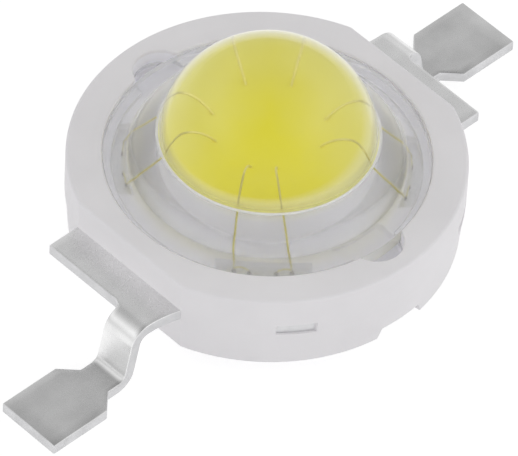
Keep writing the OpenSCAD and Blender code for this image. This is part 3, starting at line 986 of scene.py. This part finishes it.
def chip_material(name, colour, roughness):
    """Plain die or paste with a faint mottle."""
    material, tree, shader = new_material(name)
    mottle = noise(tree, size=0.15, detail=3.0)
    tone = mottled(tree, mottle, GRAIN_SPAN, colour, darker=0.9, lighter=1.05)
    tree.links.new(tone, shader.inputs["Base Color"])
    shader.inputs["Roughness"].default_value = roughness
    return material


def floor_material(colour):
    """Pale floor: white to the camera, to gloss and to glass, and a plain bounce for the rest.

    The white keeps a soft shadow.
    """
    material, tree, shader = new_material("pale_floor")
    output = tree.nodes["Material Output"]
    shader.inputs["Base Color"].default_value = (*colour, 1.0)
    shader.inputs["Roughness"].default_value = 1.0
    shader.inputs["Specular IOR Level"].default_value = 0.0
    path = add_node(tree, "ShaderNodeLightPath").outputs
    seen = joined(tree, "MAXIMUM", path["Is Camera Ray"], path["Is Glossy Ray"])
    seen = joined(tree, "MAXIMUM", seen, path["Is Transmission Ray"])
    white = add_node(tree, "ShaderNodeEmission", strength=FLOOR_WHITE)
    white.inputs["Color"].default_value = (1.0, 1.0, 1.0, 1.0)
    shade = add_node(tree, "ShaderNodeBsdfDiffuse")
    shade.inputs["Color"].default_value = (FLOOR_SHADE, FLOOR_SHADE, FLOOR_SHADE, 1.0)
    both = add_node(tree, "ShaderNodeAddShader")
    mix = add_node(tree, "ShaderNodeMixShader")
    tree.links.new(white.outputs[0], both.inputs[0])
    tree.links.new(shade.outputs[0], both.inputs[1])
    tree.links.new(seen, mix.inputs["Fac"])
    tree.links.new(shader.outputs[0], mix.inputs[1])
    tree.links.new(both.outputs[0], mix.inputs[2])
    tree.links.new(mix.outputs[0], output.inputs["Surface"])
    return material


def colour_property(name, description, default):
    """A colour that shows as a swatch."""
    return FloatVectorProperty(
        name=name, description=description, subtype="COLOR", min=0, max=1, default=default
    )


def length_property(name, description, millimetres):
    """A length in Blender's own units."""
    return FloatProperty(
        name=name, description=description, unit="LENGTH", precision=6, default=millimetres * MM
    )


def share_property(name, description, default):
    """A share from 0 to 1 that shows as a slider."""
    return FloatProperty(
        name=name, description=description, subtype="FACTOR", min=0, max=1, default=default
    )


def level_property(name, description, default):
    """A plain number that isn't below 0."""
    return FloatProperty(name=name, description=description, min=0, default=default)


def count_property(name, description, default):
    """A number of samples around the axis."""
    return IntProperty(name=name, description=description, min=90, default=default)


class BodySettings(bpy.types.PropertyGroup):
    """Finish of the moulded body and of the slug in it."""

    colour: colour_property("Plastic", "Colour of the moulding compound", (0.85, 0.835, 0.855))
    # Painted light: whiter plastic in the recess under the lens
    lit_under_gel: colour_property("Sealed plastic", "Colour of the compound under the gel", (0.96, 0.955, 1.0))
    rounding: length_property("Edge rounding", "Reach of the rounds on the body's edges", 0.05)
    around: count_property("Samples", "Even samples around the body", 360)
    slug_colour: colour_property("Slug plating", "Silver plating on the thermal pad", (0.8, 0.79, 0.77))
    film: colour_property("Phosphor film", "Phosphor film around the cup's rim", (0.97, 0.965, 0.85))
    # Partly painted light: whiter silver for the slug above the seat
    slug_matt: colour_property("Matt silver", "Sealed silver around the cup", (0.9, 0.895, 0.9))


class LeadSettings(bpy.types.PropertyGroup):
    """Finish of the two leads."""

    colour: colour_property("Lead plating", "Tin plating on the leads", (0.66, 0.66, 0.66))
    # A lighter tone for the leg and, in part, the plate than for the foot
    lighter_leg: colour_property("Rubbed plating", "Leg where the bending tool rubbed it", (0.9, 0.9, 0.9))
    sheared: colour_property("Sheared edges", "Colour of the bright sheared edges", (0.67, 0.67, 0.68))
    pad: colour_property("Pad plating", "Silver plating on the bonding pads", (0.8, 0.79, 0.81))
    rounding: length_property("Edge rounding", "Width of the rounds on the stamped edges", 0.045)
    thickness: length_property("Sheet", "Thickness of the lead sheet", LEAD_T)


class LensSettings(bpy.types.PropertyGroup):
    """Optics of the lens."""

    clear: colour_property("Clear", "Colour of the clear lens and gel", (0.98, 0.98, 1.0))
    # Painted light: a yellow tint just above the lip
    glow: colour_property("Glow", "Colour of the dome just above the lip", (0.98, 0.94, 0.32))
    ior: FloatProperty(
        name="Refractive index", description="Index of the lens and the gel", min=1, default=1.47
    )
    polish: share_property("Dome roughness", "Blur of the dome", 0.1)
    satin: share_property("Skirt roughness", "Blur of the skirt", 0.22)
    # Painted light: white shares on the clear body; the one on the lip is a painted highlight
    flange_light: share_property("Veil", "White haze on the flange", 0.22)
    lip_highlight: share_property("Frost", "White haze on the lip", 0.55)
    painted_light: share_property("Haze", "Haze just above the lip", 0.36)
    # Painted light: white where the dome is seen at a slant
    limb: share_property("Limb", "White haze where the lens is seen at a slant", 0.7)
    rounding: length_property("Edge rounding", "Reach of the rounds on the lens edges", 0.02)
    around: count_property("Samples", "Even samples around the lens", 288)


class LightSourceSettings(bpy.types.PropertyGroup):
    """Phosphor, chip and wires."""

    phosphor: colour_property("Phosphor", "Colour of the phosphor fill", (0.90, 0.82, 0.022))
    # Painted highlight: the paler phosphor colour
    pale: colour_property("Pale phosphor", "Colour of its paler drifts", (0.91, 0.86, 0.22))
    edge: colour_property("Phosphor edge", "Thin edge of the phosphor over the rim", (0.96, 0.95, 0.66))
    crown: length_property("Crown", "Height of the phosphor above the cup's rim", 0.45)
    gold: colour_property("Wires", "Colour of the gold wires", (0.83, 0.76, 0.24))
    # Painted shade: colour of the gold at the bonds on the leads
    bond_shade: colour_property("Bonds", "Colour of the gold pressed on the leads", (0.09, 0.08, 0.045))
    wire: length_property("Wire", "Diameter of the bond wires", 0.04)
    chip: colour_property("Die", "Colour of the die", (0.30, 0.36, 0.45))
    paste: colour_property("Bond layer", "Colour of the layer under the die", (0.60, 0.60, 0.62))


class StageSettings(bpy.types.PropertyGroup):
    """Floor and light."""

    floor: colour_property("Floor", "Colour of the floor", (0.9, 0.9, 0.9))
    zenith: level_property("Overhead light", "Level of the light from straight above", 0.29)
    light: level_property("Soft light", "Factor on the soft light all around", 1.0)


class LED_OT_housing(bpy.types.Operator):
    """Build the moulded body."""

    bl_idname = "led.housing"
    bl_label = "Moulded body"

    def execute(self, context):
        settings = context.scene.led_body
        outline = housing_outline(sample_angles(settings.around), settings.rounding / MM)
        patch = grid(turned(outline), wrap_rows=True, wrap_columns=True)
        material = plastic_material(settings.colour, settings.lit_under_gel)
        make_piece("housing_moulding", [patch], material, "white_plastic", "housing")
        return {"FINISHED"}


class LED_OT_slug(bpy.types.Operator):
    """Build the heat slug with its cup."""

    bl_idname = "led.slug"
    bl_label = "Heat slug"

    def execute(self, context):
        settings = context.scene.led_body
        outline = slug_outline(even_angles(SLUG_SIDES))
        patch = grid(turned(outline), wrap_rows=True, wrap_columns=True)
        material = slug_material(settings.slug_colour, settings.slug_matt, settings.film)
        make_piece("slug_turning", [patch], material, "plated_slug", "heat_slug")
        return {"FINISHED"}


class LED_OT_leads(bpy.types.Operator):
    """Build the two bent leads."""

    bl_idname = "led.leads"
    bl_label = "Leads"

    def execute(self, context):
        settings = context.scene.led_lead
        colours = (settings.colour, settings.pad, settings.lighter_leg)
        material = plating_material("tin_plated_lead", *colours, size=0.7, low=0.26, high=0.32)
        edge_colours = [settings.sheared] * 3
        sheared = plating_material("sheared_lead_edge", *edge_colours, size=0.3, low=0.35, high=0.5)
        sheets = lead_sheets()
        for name, patches in (("anode_lead", sheets), ("cathode_lead", half_turned(sheets))):
            piece = make_piece(name + "_sheet", patches, material, "plated_lead", name, weighed=False)
            piece.data.materials.append(sheared)
            wall = piece.modifiers.new("sheet", "SOLIDIFY")
            wall.thickness = settings.thickness
            wall.offset = 0.0
            wall.use_even_offset = True
            wall.material_offset_rim = 1
            edge = piece.modifiers.new("stamped edge", "BEVEL")
            edge.width = settings.rounding
            edge.segments = STAMPED_STEPS
            edge.limit_method = "ANGLE"
            edge.angle_limit = np.radians(STAMPED_ANGLE)
            smooth = piece.modifiers.new("flat faces", "WEIGHTED_NORMAL")
            smooth.mode = "FACE_AREA"
        return {"FINISHED"}


class LED_OT_phosphor(bpy.types.Operator):
    """Build the phosphor fill and finish the die under it."""

    bl_idname = "led.phosphor"
    bl_label = "Phosphor and die"

    def execute(self, context):
        settings = context.scene.led_light
        crown = settings.crown / MM
        crown_r = (CROWN_R ** 2 + crown ** 2) / (2 * crown)
        rise = np.linspace(np.arcsin(CROWN_R / crown_r), 0, CROWN_STEPS)
        crown_z = CUP_TOP + crown - crown_r
        top = np.stack([crown_r * np.sin(rise), crown_z + crown_r * np.cos(rise)], -1)
        cup = [(0.0, CUP_Z), (CUP_FLOOR_R, CUP_Z), (CUP_RIM_R, CUP_TOP)]
        outline = at_angles(np.concatenate([cup, top]), even_angles(PHOSPHOR_SIDES))
        patch = grid(turned(outline), wrap_rows=True)
        material = phosphor_material(settings.phosphor, settings.pale, settings.edge)
        make_piece("phosphor_crown", [patch], material, "phosphor", "phosphor_fill")
        finishes = {
            "die": chip_material("sapphire_die", settings.chip, roughness=0.25),
            "die_bond": chip_material("silver_paste", settings.paste, roughness=0.5),
        }
        for node, finish in finishes.items():
            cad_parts[node].data.materials.clear()
            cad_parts[node].data.materials.append(finish)
        return {"FINISHED"}


class LED_OT_wires(bpy.types.Operator):
    """Build the bond wires, two to each window."""

    bl_idname = "led.wires"
    bl_label = "Bond wires"

    def execute(self, context):
        settings = context.scene.led_light
        material = gold_material(settings.gold, settings.bond_shade)
        for number in range(1, WIRES + 1):
            window = WINDOW_TURN + QUARTER_TURN * ((number - 1) // 2)
            side = 1 if number % 2 == 0 else -1
            patches = wire_patches(window, side, LEANS[number - 1], settings.wire / MM / 2)
            node = f"bond_wire_{number}"
            make_piece(f"gold_wire_{number}", patches, material, "gold_wire", node)
        return {"FINISHED"}


class LED_OT_lens(bpy.types.Operator):
    """Build the clear lens together with the gel under it."""

    bl_idname = "led.lens"
    bl_label = "Lens and gel"

    def execute(self, context):
        settings = context.scene.led_lens
        outline = lens_outline(sample_angles(settings.around), settings.rounding / MM)
        patch = grid(turned(outline), wrap_rows=True)
        material = clear_material(settings)
        make_piece("clear_lens", [patch], material, "clear_lens", "lens", "gel_fill")
        return {"FINISHED"}


def camera_axes():
    """Right, up and forward of the camera: a turn about Z, a tilt down and a roll about the view."""
    a, e, roll = np.radians([CAMERA_TURN, CAMERA_TILT, CAMERA_ROLL])
    right = np.array([np.cos(a), np.sin(a), 0.0])
    forward = np.array([-np.sin(a) * np.cos(e), np.cos(a) * np.cos(e), -np.sin(e)])
    up = np.cross(right, forward)
    rolled = right * np.cos(roll) + up * np.sin(roll)
    return rolled, up * np.cos(roll) - right * np.sin(roll), forward


def add_camera():
    """Camera at the photograph's own viewpoint."""
    right, up, forward = camera_axes()
    eye = (np.array(CAMERA_LOOK) - CAMERA_FAR * forward) * MM
    data = bpy.data.cameras.new("camera")
    data.sensor_fit = "HORIZONTAL"
    data.sensor_width = SENSOR_W
    data.lens = PIXELS_PER_MM * CAMERA_FAR * SENSOR_W / PICTURE_W
    data.clip_start = CLIP_START
    camera = bpy.data.objects.new("camera", data)
    bpy.context.scene.collection.objects.link(camera)
    turn = Matrix((right, up, -forward)).transposed().to_4x4()
    camera.matrix_world = Matrix.Translation(Vector(eye)) @ turn
    bpy.context.scene.camera = camera


def add_sky(settings):
    """Soft studio light: on each side a broken line over the height, weighed by the cosine squared."""
    world = bpy.data.worlds.new("studio")
    world.use_nodes = True
    bpy.context.scene.world = world
    tree = world.node_tree
    background = tree.nodes["Background"]
    background.inputs["Color"].default_value = (1.0, 1.0, 1.0, 1.0)
    direction = add_node(tree, "ShaderNodeTexCoord").outputs["Generated"]
    height = height_of(tree, direction)
    level = add_node(tree, "ShaderNodeVectorMath", operation="NORMALIZE")
    tree.links.new(levelled(tree, direction), level.inputs[0])
    places = (*SKY_HEIGHTS, 1.0)
    total = 0.0
    for turn, levels in SKY_SIDES:
        facing = along(tree, level.outputs["Vector"], CAMERA_TURN + turn)
        share = joined(tree, "POWER", joined(tree, "MAXIMUM", facing, 0.0), 2.0)
        greys = [value / SKY_TOP for value in (*levels, settings.zenith)]
        line = broken_line(tree, height, places, greys)
        total = joined(tree, "ADD", total, joined(tree, "MULTIPLY", share, line))
    strength = joined(tree, "MULTIPLY", total, SKY_TOP * settings.light)
    tree.links.new(strength, background.inputs["Strength"])


def add_floor(colour):
    """Floor just under the seating plane."""
    reach = FLOOR_REACH
    low = -FLOOR_DROP * MM
    mesh = bpy.data.meshes.new("floor")
    square = ((-reach, -reach), (reach, -reach), (reach, reach), (-reach, reach))
    mesh.from_pydata([(x, y, low) for x, y in square], [], [(0, 1, 2, 3)])
    mesh.materials.append(floor_material(colour))
    floor = bpy.data.objects.new("floor", mesh)
    bpy.context.scene.collection.objects.link(floor)


class LED_OT_stage(bpy.types.Operator):
    """Add the pale floor, the soft light and the camera."""

    bl_idname = "led.stage"
    bl_label = "Floor, light and camera"

    def execute(self, context):
        settings = context.scene.led_stage
        add_floor(settings.floor)
        add_sky(settings)
        add_camera()
        context.scene.view_settings.view_transform = "Standard"
        # White plastic under the lens turns grey where light is blurred or loses its late bounces
        cycles = context.scene.cycles
        cycles.blur_glossy = 0.0
        cycles.max_bounces = LIGHT_BOUNCES
        cycles.diffuse_bounces = DIFFUSE_BOUNCES
        cycles.transmission_bounces = LIGHT_BOUNCES
        return {"FINISHED"}


BUILDERS = (
    LED_OT_housing, LED_OT_slug, LED_OT_leads, LED_OT_phosphor, LED_OT_wires, LED_OT_lens, LED_OT_stage,
)
SETTINGS = {
    "led_body": BodySettings,
    "led_lead": LeadSettings,
    "led_lens": LensSettings,
    "led_light": LightSourceSettings,
    "led_stage": StageSettings,
}


class LED_PT_panel(bpy.types.Panel):
    """Sidebar panel with the builders and their settings."""

    bl_idname = "LED_PT_panel"
    bl_label = "High-power LED"
    bl_space_type = "VIEW_3D"
    bl_region_type = "UI"
    bl_category = "LED"

    def draw(self, context):
        for builder in BUILDERS:
            self.layout.operator(builder.bl_idname)
        for name, group in SETTINGS.items():
            box = self.layout.box()
            for key in group.__annotations__:
                box.prop(getattr(context.scene, name), key)


CLASSES = (*SETTINGS.values(), *BUILDERS, LED_PT_panel)


def register():
    """Adds the classes and hangs the settings on the scene."""
    for item in CLASSES:
        bpy.utils.register_class(item)
    for name, group in SETTINGS.items():
        setattr(bpy.types.Scene, name, PointerProperty(type=group))


def unregister():
    """Takes the settings and the classes away again."""
    for name in SETTINGS:
        delattr(bpy.types.Scene, name)
    for item in reversed(CLASSES):
        bpy.utils.unregister_class(item)


def main():
    """Builds every piece and the stage."""
    register()
    bpy.ops.led.housing()
    bpy.ops.led.slug()
    bpy.ops.led.leads()
    bpy.ops.led.phosphor()
    bpy.ops.led.wires()
    bpy.ops.led.lens()
    bpy.ops.led.stage()


if __name__ == "__main__":
    main()
